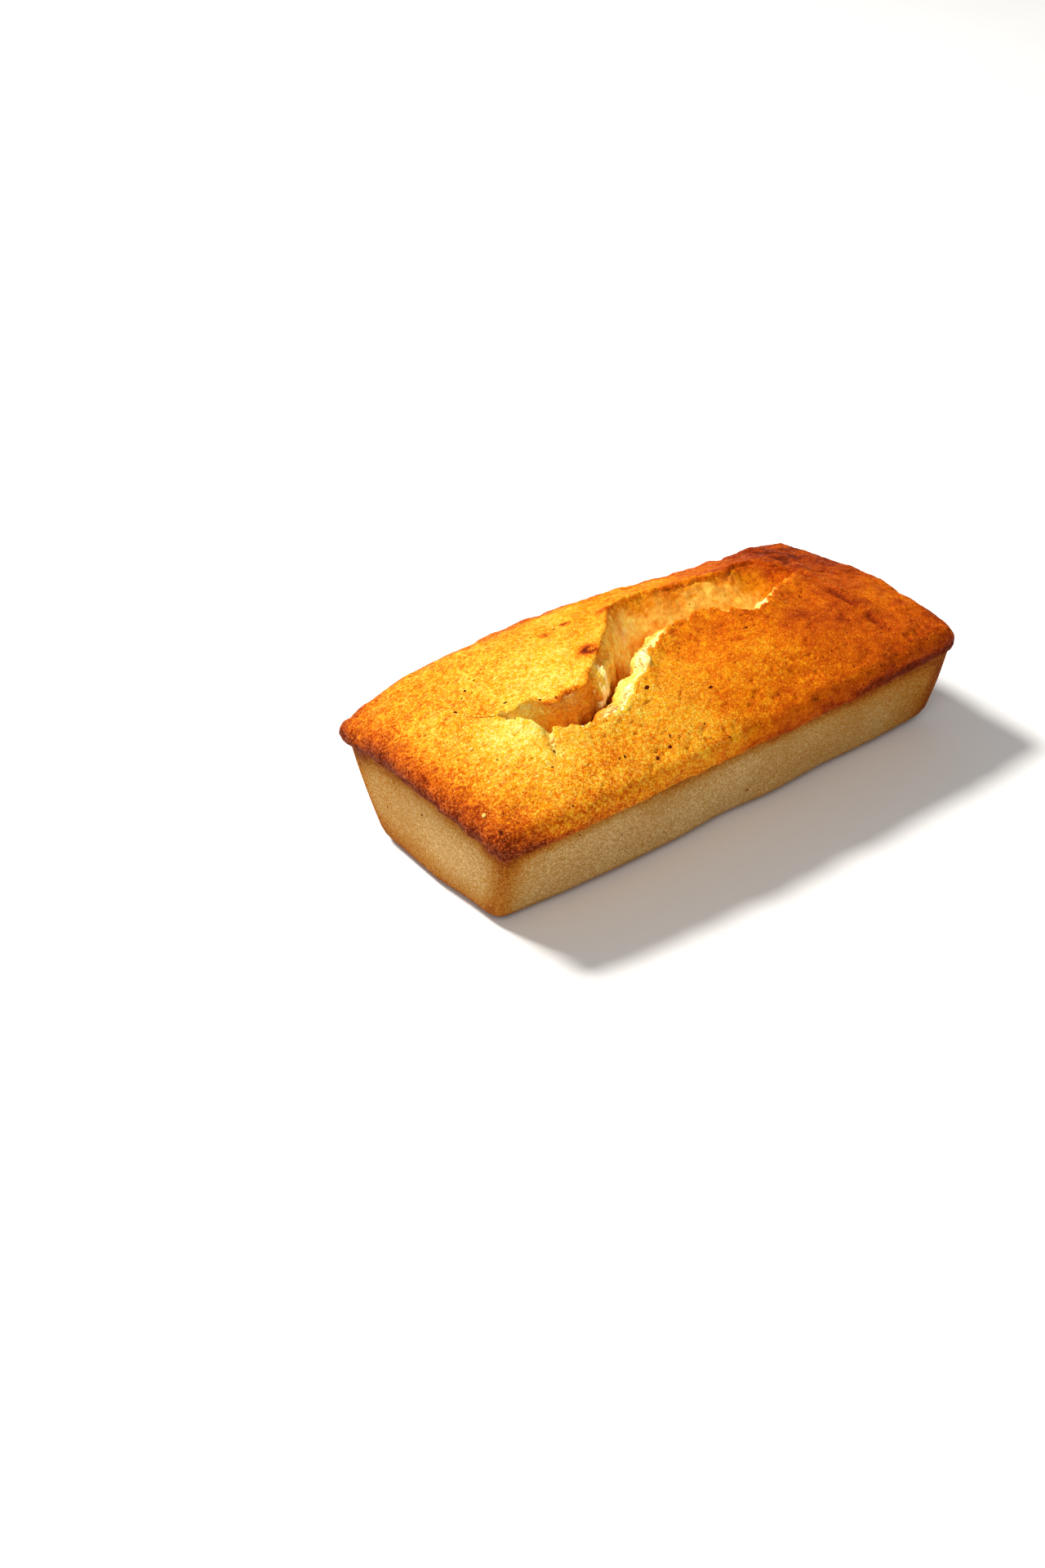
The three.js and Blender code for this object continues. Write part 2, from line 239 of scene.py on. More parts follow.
def top(a, b, x, y):
    """z of the top, and what split() says of it."""
    shifted = b - 0.12 * (1 - b * b)
    dome = RISE * (1 - np.abs(a) ** 4.2) * (1 - np.abs(shifted) ** 3.2)
    inner = smoothstep(1 - np.maximum(np.abs(a), np.abs(b)), 0, 0.12)
    dimple = DIMPLE * inner * noise(x / DIMPLE_SIZE, y / DIMPLE_SIZE, 1.5)
    depth, curl, gap, flake, inside = split(x, y)
    z = BROW_Z + arch(a, b) + dome + dimple + curl - depth - notch(x, y)
    return z, depth, gap, flake, inside


def wall(z, rounding):
    """One ring of the moulded side, for side_rings()."""
    low = 1 - z / UNDER_Z
    return (
        lerp(OVERHANG, BASE_INSET_END, low) + rounding,
        lerp(OVERHANG, BASE_INSET_SIDE, low) + rounding,
        lerp(RIM_CORNER, BASE_CORNER, low),
        0.35 + 0.5 * z / NOSE_Z,
        z,
    )


def side_rings():
    """The side from the base to the brow, as (end inset, side inset, corner, swell, z)."""
    turns = [math.pi / 2 * i / ROUND_RINGS for i in range(ROUND_RINGS + 1)]
    rings = [wall(BASE_ROUND * (1 - math.cos(t)), BASE_ROUND * (1 - math.sin(t))) for t in turns]
    steps = range(1, WALL_RINGS + 1)
    rings += [wall(lerp(BASE_ROUND, UNDER_Z - 0.5, i / WALL_RINGS), 0) for i in steps]
    last = 0.27 * math.pi
    for i in range(1, RIM_RINGS + 1):
        turn = lerp(-0.5 * math.pi, last, i / RIM_RINGS)
        if turn > 0:
            z = NOSE_Z + (BROW_Z - NOSE_Z) * math.sin(turn) / math.sin(last)
            inset = BROW_INSET * (1 - math.cos(turn)) / (1 - math.cos(last))
        else:
            z = NOSE_Z + (NOSE_Z - UNDER_Z) * math.sin(turn)
            inset = OVERHANG * (1 - math.cos(turn))
        rings.append((inset, inset, RIM_CORNER, 1, z))
    return rings


def weathered(x, y, z, edge):
    """Points moved a little, so that nothing is quite straight and the rim is craggy."""
    free = smoothstep(z, 0, 6)
    rim = CRAG * smoothstep(z, UNDER_Z - 1, NOSE_Z) * edge

    def bend(seed):
        return SWAY * noise(x / SWAY_SIZE, y / SWAY_SIZE, z / SWAY_SIZE + seed)

    def lump(seed):
        return rim * noise(x / CRAG_SIZE, y / CRAG_SIZE, z / CRAG_SIZE + seed)

    return x + bend(20) + lump(50), y + bend(30) + lump(60), z + free * (0.6 * bend(40) + lump(70))


def split_steps(a_line, b0, b1):
    """For each row, places across the split that are evenly spaced along its surface."""
    b = lerp(b0[:, None], b1[:, None], np.linspace(0, 1, STEPS + 1))
    a = np.repeat(a_line[:, None], STEPS + 1, axis=1)
    x, y = level(a, b, *side_rings()[-1][:4])
    z = top(a, b, x, y)[0]
    steps = np.hypot(np.diff(y), np.diff(z))
    run = np.concatenate([np.zeros((len(a), 1)), np.cumsum(steps, axis=1)], axis=1)
    even = np.linspace(0, 1, CELLS_SPLIT + 1)[:-1]
    return np.stack([np.interp(even * r[-1], r, row) for r, row in zip(run, b)])


def cake_mesh():
    """Points, faces and what each point is: the columns of the table are named in FACTS."""
    t = np.linspace(-1, 1, CELLS_LONG + 1)
    a_line = t - CROWDING * np.sin(math.pi * t) / math.pi
    front, back = lips(a_line * (LENGTH / 2 - BROW_INSET))
    spare = np.maximum(LEAST_BAND - (back - front), 0) / 2
    b0, b1 = (y / half_width(a_line, y, BROW_INSET, 1) for y in (front - spare, back + spare))
    b_rows = np.concatenate(
        [
            lerp(-1, b0[:, None], np.arange(CELLS_FRONT) / CELLS_FRONT),
            split_steps(a_line, b0, b1),
            lerp(b1[:, None], 1, np.arange(CELLS_BACK + 1) / CELLS_BACK),
        ],
        axis=1,
    )
    a = np.repeat(a_line[:, None], b_rows.shape[1], axis=1)
    rings = side_rings()
    x, y = level(a, b_rows, *rings[-1][:4])
    z, depth, gap, flake, inside = top(a, b_rows, x, y)
    edge = smoothstep(np.maximum(np.abs(a), np.abs(b_rows)), 0.8, 1)
    flat = np.zeros_like(x)
    facts = [np.stack([c.ravel() for c in (a, b_rows, flat, depth, gap, flake, inside, x, y)], -1)]
    points = [np.stack([c.ravel() for c in weathered(x, y, z, edge)], -1)]
    at = np.arange(x.size).reshape(x.shape)
    faces = [np.stack([at[:-1, :-1], at[1:, :-1], at[1:, 1:], at[:-1, 1:]], -1).reshape(-1, 4)]

    border = np.concatenate([at[:-1, 0], at[-1, :-1], at[:0:-1, -1], at[0, :0:-1]])
    ba, bb = a.ravel()[border], b_rows.ravel()[border]
    above, count, fallen = border, x.size, 0
    for upper, ring in zip(rings[:0:-1], rings[-2::-1]):
        inset_end, inset_side, corner, swell, height = ring
        rx, ry = level(ba, bb, inset_end, inset_side, corner, swell)
        rz = height + arch(ba, bb) * smoothstep(height, BASE_ROUND, UNDER_Z)
        points.append(np.stack(weathered(rx, ry, rz, 1), -1))
        fallen += math.hypot(upper[4] - height, upper[1] - inset_side)
        ones, none = np.ones_like(rx), np.zeros_like(rx)
        row = (ba, bb, ones * fallen, none, ones * NO_GAP, none, none, rx, ry)
        facts.append(np.stack(row, -1))
        below = count + np.arange(len(border))
        count += len(border)
        faces.append(np.stack([above, below, np.roll(below, -1), np.roll(above, -1)], -1))
        above = below
    points.append(np.array([[0.0, 0.0, 0.0]]))
    facts.append(np.array([[0, 0, fallen + BASE_FALL, 0, NO_GAP, 0, 0, 0, 0.0]]))
    fan = np.stack([above, np.full_like(above, count), np.roll(above, -1)], -1)
    points = np.concatenate(points)
    middle = (points.min(0) + points.max(0)) / 2
    points -= (middle[0], middle[1], 0)
    return points, faces, fan, np.concatenate(facts), middle


FACTS = ["a", "b", "fallen", "depth", "gap", "flake", "inside", "x", "y"]
points, quads, fan, fact_table, middle = cake_mesh()
fact = {name: fact_table[:, i] for i, name in enumerate(FACTS)}


def mesh_object(name, points_mm, faces):
    mesh = bpy.data.meshes.new(name)
    mesh.from_pydata((np.asarray(points_mm) / 1000).tolist(), [], faces)
    mesh.update()
    mesh.polygons.foreach_set("use_smooth", [True] * len(mesh.polygons))
    obj = bpy.data.objects.new(name, mesh)
    bpy.context.collection.objects.link(obj)
    return obj


cake = mesh_object("cake_crust", points, np.concatenate(quads).tolist() + fan.tolist())
cake_data = cake.data


def read(data, what, width):
    out = np.empty(len(data) * width, dtype=np.float32)
    data.foreach_get(what, out)
    return out.reshape(-1, width).astype(float)


# --- What each point is made of -------------------------------------------------------------------

RIM_FALL = 5.6  # along the surface, from the brow to the line where the crust meets the pale side
NEAR_FALL = 3  # spots reach this far down the rim
x, y, gap, depth, inside, fallen = (fact[n] for n in ("x", "y", "gap", "depth", "inside", "fallen"))
z = points[:, 2]
on_top = fallen == 0
to_left, to_right = ((1 + way * fact["a"]) * LENGTH / 2 + RIM_FALL - fallen for way in (1, -1))
to_front, to_back = ((1 + way * fact["b"]) * WIDTH / 2 + RIM_FALL - fallen for way in (1, -1))
under_crust = np.clip(along(BACK_LIP, x) - y, 0, None)


def near(cx, cy, rx, ry, turn=0):
    """A soft spot on the top, 1 in its middle."""
    c, s = math.cos(math.radians(turn)), math.sin(math.radians(turn))
    u, v = (x - cx) * c + (y - cy) * s, (y - cy) * c - (x - cx) * s
    return np.exp(-((u / rx) ** 2) - (v / ry) ** 2) * (fallen < NEAR_FALL)


def spots(table):
    """A sum of soft spots, each as its strength, middle, radii and turn."""
    return sum(strength * near(*place) for strength, *place in table)


def rough(*layers):
    """A sum of noises, each as its kind, height, size, seed and squeeze along z."""
    total = 0
    for kind, height, size, seed, *squeeze in layers:
        total = total + height * kind(points * (1, 1, *(squeeze or (1,))), size, seed)
    return total


def patches(size, seed, low, high):
    """Uneven patches of that size, 1 inside them."""
    return smoothstep(grain(points, size, seed), low, high)


above_line = np.minimum.reduce([to_left, to_right, to_front, to_back])
ragged_line = above_line + rough((grain, 0.35, 2, 41), (grain, 0.5, 6, 43))
side = 1 - smoothstep(ragged_line, -0.3, 0.5)
torn = smoothstep(depth, 0.15, 0.5) * (gap <= 0) * on_top
end_folds = smoothstep(x + 1.2 * grain(points, 3, 47), 28, 31)
opened = smoothstep(x, -30.5, -29.5)
hairline = torn * (1 - opened)
in_notch = smoothstep(notch(x, y) / NOTCH_DEPTH[0] * on_top, 0.3, 0.6)
bitten = smoothstep(near(-5.4, -6.3, 2.2, 0.9, 50), 0.3, 0.6)
crumb = np.maximum.reduce([torn * (1 - end_folds) * opened, in_notch, bitten])
crust = (1 - side) * (1 - crumb)

on_ledge = between(x, -20.5, -17.5, 1, 5) * (1 - smoothstep(inside, 2.2, 3.4))
right_wall = smoothstep(x, 0, 6) * (1 - on_ledge)
lobe_wall = between(x, -30.5, -29, -14, -11) * smoothstep(inside, 0.8, 2) * crumb
smooth_wall = bell(x + 20, 7) * (inside > 3)

# --- Fine relief, pushed out along the normals ----------------------------------------------------

CREAM_BLOBS = [
    (1, -4.8, -5.2, 2.6, 2.2), (0.8, -11.2, -8.9, 2, 1.8), (0.7, -16.8, -11.6, 2.2, 1.4),
    (0.8, 22.3, -3, 1.8, 1.6),
]  # fmt: skip
SHOULDER = [(-20, 35), (-12, 34), (-5, 33.2), (3, 34.5), (10, 37)]  # y and x of the right fold
BACK_BAND = [(-45, 6.5), (-30, 8), (-24, 9.5), (-12, 10.6), (0, 10.4), (12, 8.5), (45, 6.5)]
STREAK_X, STREAK_TO_FRONT, RIDGE_PITCH = -27, 3.8, 5.3

normals = read(cake_data.vertices, "normal", 3)
left_rim = np.clip(up_to(to_left - 1, 7) + 0.6 * near(-40, -19, 8, 5), 0, 1)
relief = crust * rough((granules, 0.08, 0.7, 3), (grain, 0.04, 0.6, 7), (grain, 0.08, 1.4, 9))
rim_lumps = rough((granules, 0.2, 0.8, 5), (grain, 0.12, 1.1, 11), (grain, 0.1, 2.4, 13))
relief += crust * left_rim * rim_lumps

lumps = rough((granules, 0.16, 1.3, 17), (granules, 0.12, 0.7, 19), (grain, 0.34, 3.4, 21)) - 0.12
lumps += rough((grain, 0.16, 1.2, 25), (grain, 0.1, 0.6, 33))
strands = rough((grain, 0.45, 1.3, 27, 0.35), (granules, 0.35, 0.9, 35, 0.5)) - 0.15
fluffy = np.clip(on_ledge + fact["flake"], 0, 1)
relief += crumb * (1 - 0.3 * smooth_wall) * (1 - 0.5 * right_wall) * (lumps + fluffy * strands)
relief += crumb * fact["flake"] * rough((grain, 0.4, 1.1, 85, 0.5))
blobs = spots(CREAM_BLOBS) * (inside > 0)
relief += crumb * 0.7 * blobs
ridges = rough((grain, 0.5, 1.5, 101, 0.6), (granules, 0.3, 1.0, 103)) - 0.1
relief += 0.7 * lobe_wall * ridges
frill = crust * bell(gap, 0.7) * between(x, -33, -30, 24, 28)
relief += frill * (rough((granules, 0.4, 0.9, 83)) - 0.1)

pits = crust * patches(0.9, 91, 0.55, 0.75)
relief -= 0.25 * pits
shoulder = np.where(on_top, x - along(SHOULDER, y) + 1.1 * grain(points, 3.2, 93), 9)
cracks = bell(shoulder, 0.7) * patches(2.6, 95, -0.25, 0.3)
fold = 0.45 * bell(shoulder - 1, 1.3) * (0.6 + grain(points, 2.2, 97))
relief += crust * (fold - 0.4 * cracks)
streak = bell(x - STREAK_X, 8, 4) * bell(to_front - STREAK_TO_FRONT, 1.8) * (fact["b"] < 0)
ridged = streak * np.sin(RIDGE_PITCH * (x + 0.9 * y) + 3 * grain(points, 2, 75))
relief += 0.08 * ridged
back_line = along(BACK_BAND, x) + 0.8 * grain(points, 2.5, 99)
back_lumps = rough((granules, 0.22, 1.5, 87), (grain, 0.2, 1.8, 89))
relief += crust * bell(to_back - back_line, 2.5) * back_lumps
relief += side * rough((grain, 0.03, 1.1, 23), (grain, 0.05, 3.5, 29))
relief -= 0.15 * hairline
relief *= smoothstep(z, 0, 1)
fine = points + normals * relief[:, None]
fine[:, 2] = np.maximum(fine[:, 2], 0)
cake_data.vertices.foreach_set("co", (fine / 1000).astype(np.float32).ravel())
cake_data.update()

# --- Browning and painted shade: each is a place on its colour ramp, 0 the palest -----------------

BAKE_SPOTS = [
    (-0.2, -31, -6, 4.5, 3.5), (-0.08, -34, -12, 9, 6), (-0.13, -19, 1.5, 9, 6, 20),
    (0.06, -41, -19, 7, 4.5, 15), (0.14, 38, 13, 9, 8), (0.1, 41, 1, 5, 6), (0.05, 43, -18, 4, 6),
    (0.06, -36, 17, 9, 5), (0.16, -12.4, 1.5, 3, 2.4, 20), (0.3, -0.6, 10.8, 1.2, 0.8),
    (0.16, 23, 12, 2.2, 1.4), (0.16, 13.5, 11.5, 3, 1.2), (0.12, 22.7, -8.9, 4, 1.6, 30),
    (0.1, 30.3, 7.2, 0.9, 1.8), (-0.12, 29.5, 4, 3.5, 5),
]  # fmt: skip
SCORCHED_SPOTS = [
    (0.75, -10.6, 1.5, 1.8, 1.3, 60), (0.45, -7.7, 12.3, 2.2, 0.5, 20),
    (0.3, -12.1, 10.7, 1.6, 0.7, 20),
]  # fmt: skip
LAST_SPOTS = [(0.05, -42, -14, 5, 7), (0.05, 12, -4, 9, 4), (0.05, -23, -18, 8, 2.5, -8)]

bake_and_shade = 0.35 + 0.17 * smoothstep(x, -18, 14) + 0.16 * smoothstep(x, 10, 36)
bake_and_shade += rough((grain, 0.06, 7, 31), (grain, 0.05, 2.2, 37)) + spots(BAKE_SPOTS)
ragged = rough((grain, 1, 0.9, 77), (grain, 0.6, 2, 79))
bake_and_shade += spots(SCORCHED_SPOTS) * smoothstep(ragged, -0.7, 0.2)
from_middle = np.abs(x + 2)
corners = 0.6 * smoothstep(y, 8, 18) + 0.5 * smoothstep(-y, 13, 19)
bake_and_shade += 0.4 * up_to(to_left, 5.7, 2.5) * (1 - corners) + 0.2 * up_to(to_left - 0.5, 8, 1.8)
bake_and_shade += 0.12 * up_to(to_right, 5)
bake_and_shade += 0.16 * bell(to_back - 2, 4.5) * (1 - 0.5 * smoothstep(-x, 0, 20))
bake_and_shade += 0.1 * up_to(to_front - 0.5, 2.4 + 3.5 * smoothstep(-x, 18, 36))
bake_and_shade += 0.1 * up_to(to_front - 0.5, 5) * smoothstep(-x, 22, 30)
# Browner along the front slope: partly its own browning, partly painted shade in the middle, where
# the slope turns away from the light.
bake_and_shade += bell(to_front, 8) * (0.05 + 0.04 * (1 - smoothstep(from_middle, 14, 22)))
bake_and_shade += 0.2 * bell(ragged_line - 1.4, 0.9) * (0.1 + 0.9 * smoothstep(from_middle, 14, 36))
bake_and_shade += 0.26 * bell(gap, 0.9) * (inside > 0) * between(x, -25.5, -23, -15, -13)
# Painted shade: the wall of the lobe browner deeper down.
bake_and_shade += lobe_wall * (0.24 * smoothstep(depth, 3, 6) * smoothstep(x, -27, -24) - 0.1)
bake_and_shade += 0.025 * between(x, -5, 5, 28, 36) + 0.1 * patches(2.6, 53, 0.2, 0.7) * smoothstep(x, 22, 38)
# The pits and cracks are darkened with painted shade.
bake_and_shade += 0.2 * hairline + 0.06 * pits + 0.18 * cracks
back_band = 1 - smoothstep(to_back, back_line - 4, back_line + 1.2)
bake_and_shade += 0.22 * back_band * (1 - smoothstep(x, 8, 20))
bake_and_shade = lerp(bake_and_shade, 0.5 + 0.08 * ridged, streak)
bake_and_shade += spots(LAST_SPOTS) + 0.06 * smoothstep(y, 5, 12) * (1 - smoothstep(x, -14, -4))
bake_and_shade -= 0.1 * bell(gap, 0.9) * (y < along(FRONT_LIP, x)) * between(x, -30, -27, -14, -10)
bake_and_shade += 0.035 * smoothstep(x, 16, 26) - 0.06 * smoothstep(x, 34, 40) * smoothstep(-y, -6, 2)

fringe = (1 - smoothstep(inside, 0.5, 1.1)) * np.where(x < 6, 0.8, patches(2.5, 73, -0.1, 0.5))
pale = np.maximum.reduce([on_ledge, fringe, near(22.6, -2.6, 3.2, 2.8)])
pale = np.maximum(np.clip(pale, 0, 1) * (inside > 0), bitten)
pale = pale * np.where(on_ledge > 0.3, 0.6 + 0.5 * blobs, 1) + 0.35 * strands * on_ledge
hanging = bell(under_crust, 2 + rough((grain, 1.2, 1.6, 71)), 4) * smoothstep(x, -3, 1)
# Open crumb tone, with painted shade: its lumps paler and the hollows between them darker.
amber_and_shade = 0.44 + rough((grain, 0.12, 2.4, 59)) - (0.5 - 0.2 * right_wall) * (lumps + 0.05)
# The depth term is painted shade: deep in the split the crumb turns darker and more amber.
amber_and_shade += 0.42 * smoothstep(depth, 3.8, 7.5) * (1 - smoothstep(x, -9, 0)) + 0.1 * hanging
amber_and_shade += 0.2 * smoothstep(x, 23, 29) + 0.12 * right_wall
# Painted shade: the smooth wall darker below its top.
amber_and_shade += 0.1 * smooth_wall * smoothstep(depth, 0.3, 1.5)
amber_and_shade += 0.14 * between(x, -24, -20, -15, -12) - 0.04 * (1 - smoothstep(x, -25.5, -23))
# Painted shade: the flake more amber under the lobe's edge, and the lobe's ridges paler than its
# hollows.
amber_and_shade += 0.14 * fact["flake"] * (1 - smoothstep(under_crust, 1, 2.2)) - 0.25 * lobe_wall * ridges
# Painted warm bounce light: the shaded wall of the lobe keeps at least a warm amber tone.
amber_and_shade = np.maximum(amber_and_shade, 0.34 * lobe_wall)
# Painted shade: the lobe's wall paler at its top and darker deep down in the valley.
amber_and_shade -= 0.16 * (1 - smoothstep(depth, 0.3, 2)) * between(x, -26, -24, -13, -10)
amber_and_shade += 0.45 * smoothstep(depth, 4.2, 6.5) * between(x, -25, -22, -13, -9)
amber_and_shade = lerp(lerp(amber_and_shade, 0.08, np.clip(pale, 0, 1)), 0.2, in_notch)

from_end = np.minimum(to_left, to_right) + fallen - RIM_FALL
from_side = np.minimum(to_front, to_back) + fallen - RIM_FALL
on_end = smoothstep(from_side - from_end, 0, 2)
toast_and_shade = 0.22 + 0.7 * up_to(-ragged_line, 1.4, 1) + 0.45 * bell(from_end, 3) * bell(from_side, 3)
toast_and_shade += 0.5 * (1 - smoothstep(z, 0, 2.5)) + rough((grain, 0.1, 8, 61))
toast_and_shade += 0.12 * smoothstep(x, 5, 25) + 0.3 * smoothstep(x, 28, 44)
# The first term here is painted shade: the ends darker towards their base.
toast_and_shade += on_end * (0.48 * (1 - smoothstep(z, 0, 8)) + 0.16 * smoothstep(y, -2, 12))
froth = 0.35 + 0.4 * (1 - smoothstep(x, -34, 4)) - 0.2 * smoothstep(bake_and_shade, 0.5, 0.75)
crumb_share = crumb * (1 - 0.75 * lobe_wall) * (1 - 0.8 * hanging)


def attribute(name, values):
    layer = cake_data.attributes.new(name, "FLOAT", "POINT")
    layer.data.foreach_set("value", np.clip(values, 0, 1).astype(np.float32))


attribute("bake_and_shade", bake_and_shade)
attribute("crumb", crumb_share)
attribute("side", side)
attribute("amber_and_shade", amber_and_shade)
attribute("toast_and_shade", toast_and_shade)
attribute("froth", froth)

# --- Materials ------------------------------------------------------------------------------------


def srgb(*colour):
    """A colour of 0 to 255 as linear values, opaque."""
    parts = [c / 255 for c in colour]
    return [c / 12.92 if c <= 0.04045 else ((c + 0.055) / 1.055) ** 2.4 for c in parts] + [1.0]


class Nodes:
    """A material's node tree, built by short calls."""

    def __init__(self, name):
        self.material = bpy.data.materials.new(name)
        self.material.use_nodes = True
        self.tree = self.material.node_tree
        self.shader = self.tree.nodes["Principled BSDF"]
        self.coordinates = self.tree.nodes.new("ShaderNodeTexCoord").outputs["Object"]

    def link(self, value, socket):
        if isinstance(value, bpy.types.NodeSocket):
            self.tree.links.new(value, socket)
        else:
            socket.default_value = value

    def attribute(self, name):
        node = self.tree.nodes.new("ShaderNodeAttribute")
        node.attribute_name = name
        return node.outputs["Fac"]

    def noise(self, size_mm, detail=2.0, roughness=0.5):
        node = self.tree.nodes.new("ShaderNodeTexNoise")
        node.inputs["Scale"].default_value = 1000 / size_mm
        node.inputs["Detail"].default_value = detail
        node.inputs["Roughness"].default_value = roughness
        self.link(self.coordinates, node.inputs["Vector"])
        return node.outputs["Fac"]

    def warped(self, size_mm, reach_mm):
        """Object coordinates moved about at random, so that a pattern on them is less regular."""
        node = self.tree.nodes.new("ShaderNodeTexNoise")
        node.inputs["Scale"].default_value = 1000 / size_mm
        self.link(self.coordinates, node.inputs["Vector"])
        place = self.tree.nodes.new("ShaderNodeVectorMath")
        place.operation = "MULTIPLY_ADD"
        self.link(node.outputs["Color"], place.inputs[0])
        place.inputs[1].default_value = (2 * reach_mm / 1000,) * 3
        self.link(self.coordinates, place.inputs[2])
        return place.outputs[0]

    def cells(self, size_mm, place):
        """Distance from the middle of a grain, and a random number of its own for each grain."""
        node = self.tree.nodes.new("ShaderNodeTexVoronoi")
        node.inputs["Scale"].default_value = 1000 / size_mm
        self.link(place, node.inputs["Vector"])
        parts = self.tree.nodes.new("ShaderNodeSeparateColor")
        self.link(node.outputs["Color"], parts.inputs[0])
        return node.outputs["Distance"], parts.outputs[0]

    def math(self, operation, *values):
        node = self.tree.nodes.new("ShaderNodeMath")
        node.operation = operation
        for value, socket in zip(values, node.inputs):
            self.link(value, socket)
        return node.outputs[0]

    def spread(self, value, low, high, to_low=0.0, to_high=1.0):
        node = self.tree.nodes.new("ShaderNodeMapRange")
        node.interpolation_type = "SMOOTHSTEP"
        for socket, v in zip(node.inputs, (value, low, high, to_low, to_high)):
            self.link(v, socket)
        return node.outputs[0]

    def ramp(self, value, stops):
        node = self.tree.nodes.new("ShaderNodeValToRGB")
        elements = node.color_ramp.elements
        while len(elements) < len(stops):
            elements.new(0.5)
        for element, (position, colour) in zip(elements, stops):
            element.position = position
            element.color = srgb(*colour)
        self.link(value, node.inputs["Fac"])
        return node.outputs["Color"]

    def mix(self, factor, a, b):
        node = self.tree.nodes.new("ShaderNodeMix")
        node.data_type = "RGBA"
        self.link(factor, node.inputs["Factor"])
        self.link(a, node.inputs[6])
        self.link(b, node.inputs[7])
        return node.outputs[2]

    def total(self, value, *terms):
        """The value plus each term: a socket, its weight and a number that is added."""
        for term, weight, plus in terms:
            value = self.math("ADD", value, self.math("MULTIPLY_ADD", term, weight, plus))
        return value

    def mix_value(self, factor, a, b):
        node = self.tree.nodes.new("ShaderNodeMix")
        for value, socket in zip((factor, a, b), (node.inputs[0], node.inputs[2], node.inputs[3])):
            self.link(value, socket)
        return node.outputs[0]

    def bump(self, height, distance_mm, strength=1.0):
        node = self.tree.nodes.new("ShaderNodeBump")
        node.inputs["Strength"].default_value = strength
        node.inputs["Distance"].default_value = distance_mm / 1000
        self.link(height, node.inputs["Height"])
        return node.outputs["Normal"]


CRUST = [
    (0.00, (255, 238, 150)), (0.16, (255, 220, 84)), (0.34, (250, 186, 28)),
    (0.50, (240, 144, 6)), (0.64, (216, 103, 4)), (0.78, (180, 71, 4)), (0.90, (142, 45, 4)),
    (1.00, (100, 30, 3)),
]  # fmt: skip
# Pale grain tips: partly the grains' own paler colour, partly a painted highlight.
TIPS_AND_HIGHLIGHTS = [
    (0.2, (255, 238, 156)), (0.45, (254, 202, 88)), (0.65, (244, 158, 54)), (0.9, (216, 124, 68)),
]  # fmt: skip
CRUMB = [
    (0.0, (255, 248, 200)), (0.2, (255, 230, 124)), (0.36, (250, 205, 88)), (0.5, (243, 177, 68)),
    (0.7, (228, 138, 12)), (0.88, (196, 104, 4)), (1.0, (140, 62, 2)),
]  # fmt: skip
SIDE = [
    (0.0, (222, 186, 128)), (0.25, (188, 146, 86)), (0.5, (176, 122, 50)), (0.75, (164, 92, 14)),
    (1.0, (122, 54, 6)),
]  # fmt: skip
GRANULE, SMALL_GRANULE, SPECKLE, PORE, FINE_PORE, BLOTCH = 0.52, 0.2, 0.22, 0.4, 0.16, 1.7
MATT, SPECULAR = 0.8, 0.04
SUBSURFACE, SUBSURFACE_RADIUS = 0.35, (1.0, 0.4, 0.08)


def crust_colour(m, bake_and_shade, froth, granule, chance, small, small_chance, fine_grain):
    """The top's colour: each grain is paler at its tip, partly its own colour and partly a painted
    highlight, and grains differ from one another.
    """
    lift_and_highlight = m.total(
        m.math("MULTIPLY", granule, -0.36),
        (chance, -0.5, 0.43),
        (small_chance, -0.4, 0.2),
        (small, -0.3, 0.12),
    )
    tone = m.math("ADD", bake_and_shade, m.math("MULTIPLY", lift_and_highlight, m.math("MULTIPLY_ADD", froth, 0.45, 0.1)))
    tone = m.total(tone, (m.noise(BLOTCH, 4, 0.65), 0.36, -0.18))
    specks = m.math(
        "MULTIPLY", m.spread(small_chance, 0.95, 0.97), m.spread(m.noise(3), 0.45, 0.6, 0, 0.35)
    )
    tone = m.total(m.math("ADD", tone, specks), (fine_grain, 0.4, -0.2))
    # Where the pale tip colour is mixed in: partly paler grains, partly a painted highlight on each
    # grain.
    large_tips = m.math("MULTIPLY", granule, m.spread(chance, 0.35, 0.9))
    large_tips = m.math("MULTIPLY", large_tips, m.spread(bake_and_shade, 0.3, 0.62, 0.42, 0.08))
    small_tips = m.math(
        "MULTIPLY", m.spread(small_chance, 0.6, 0.8), m.spread(froth, 0.3, 0.42, 0.0, 0.3)
    )
    return m.mix(m.math("ADD", large_tips, small_tips), m.ramp(tone, CRUST), m.ramp(bake_and_shade, TIPS_AND_HIGHLIGHTS))


def side_colour(m, toast_and_shade, pores, small_chance, chance, granule):
    """The moulded sides: pale crumb with fine pores and a few pale grains."""
    tone = m.total(
        toast_and_shade,
        (pores, 0.9, -0.45),
        (m.noise(FINE_PORE, 2, 0.6), 1.0, -0.5),
        (small_chance, 0.4, -0.2),
    )
    pale = m.math("MULTIPLY", m.spread(chance, 0.93, 0.96), m.math("MULTIPLY", granule, -0.3))
    return m.ramp(m.math("ADD", tone, pale), SIDE)


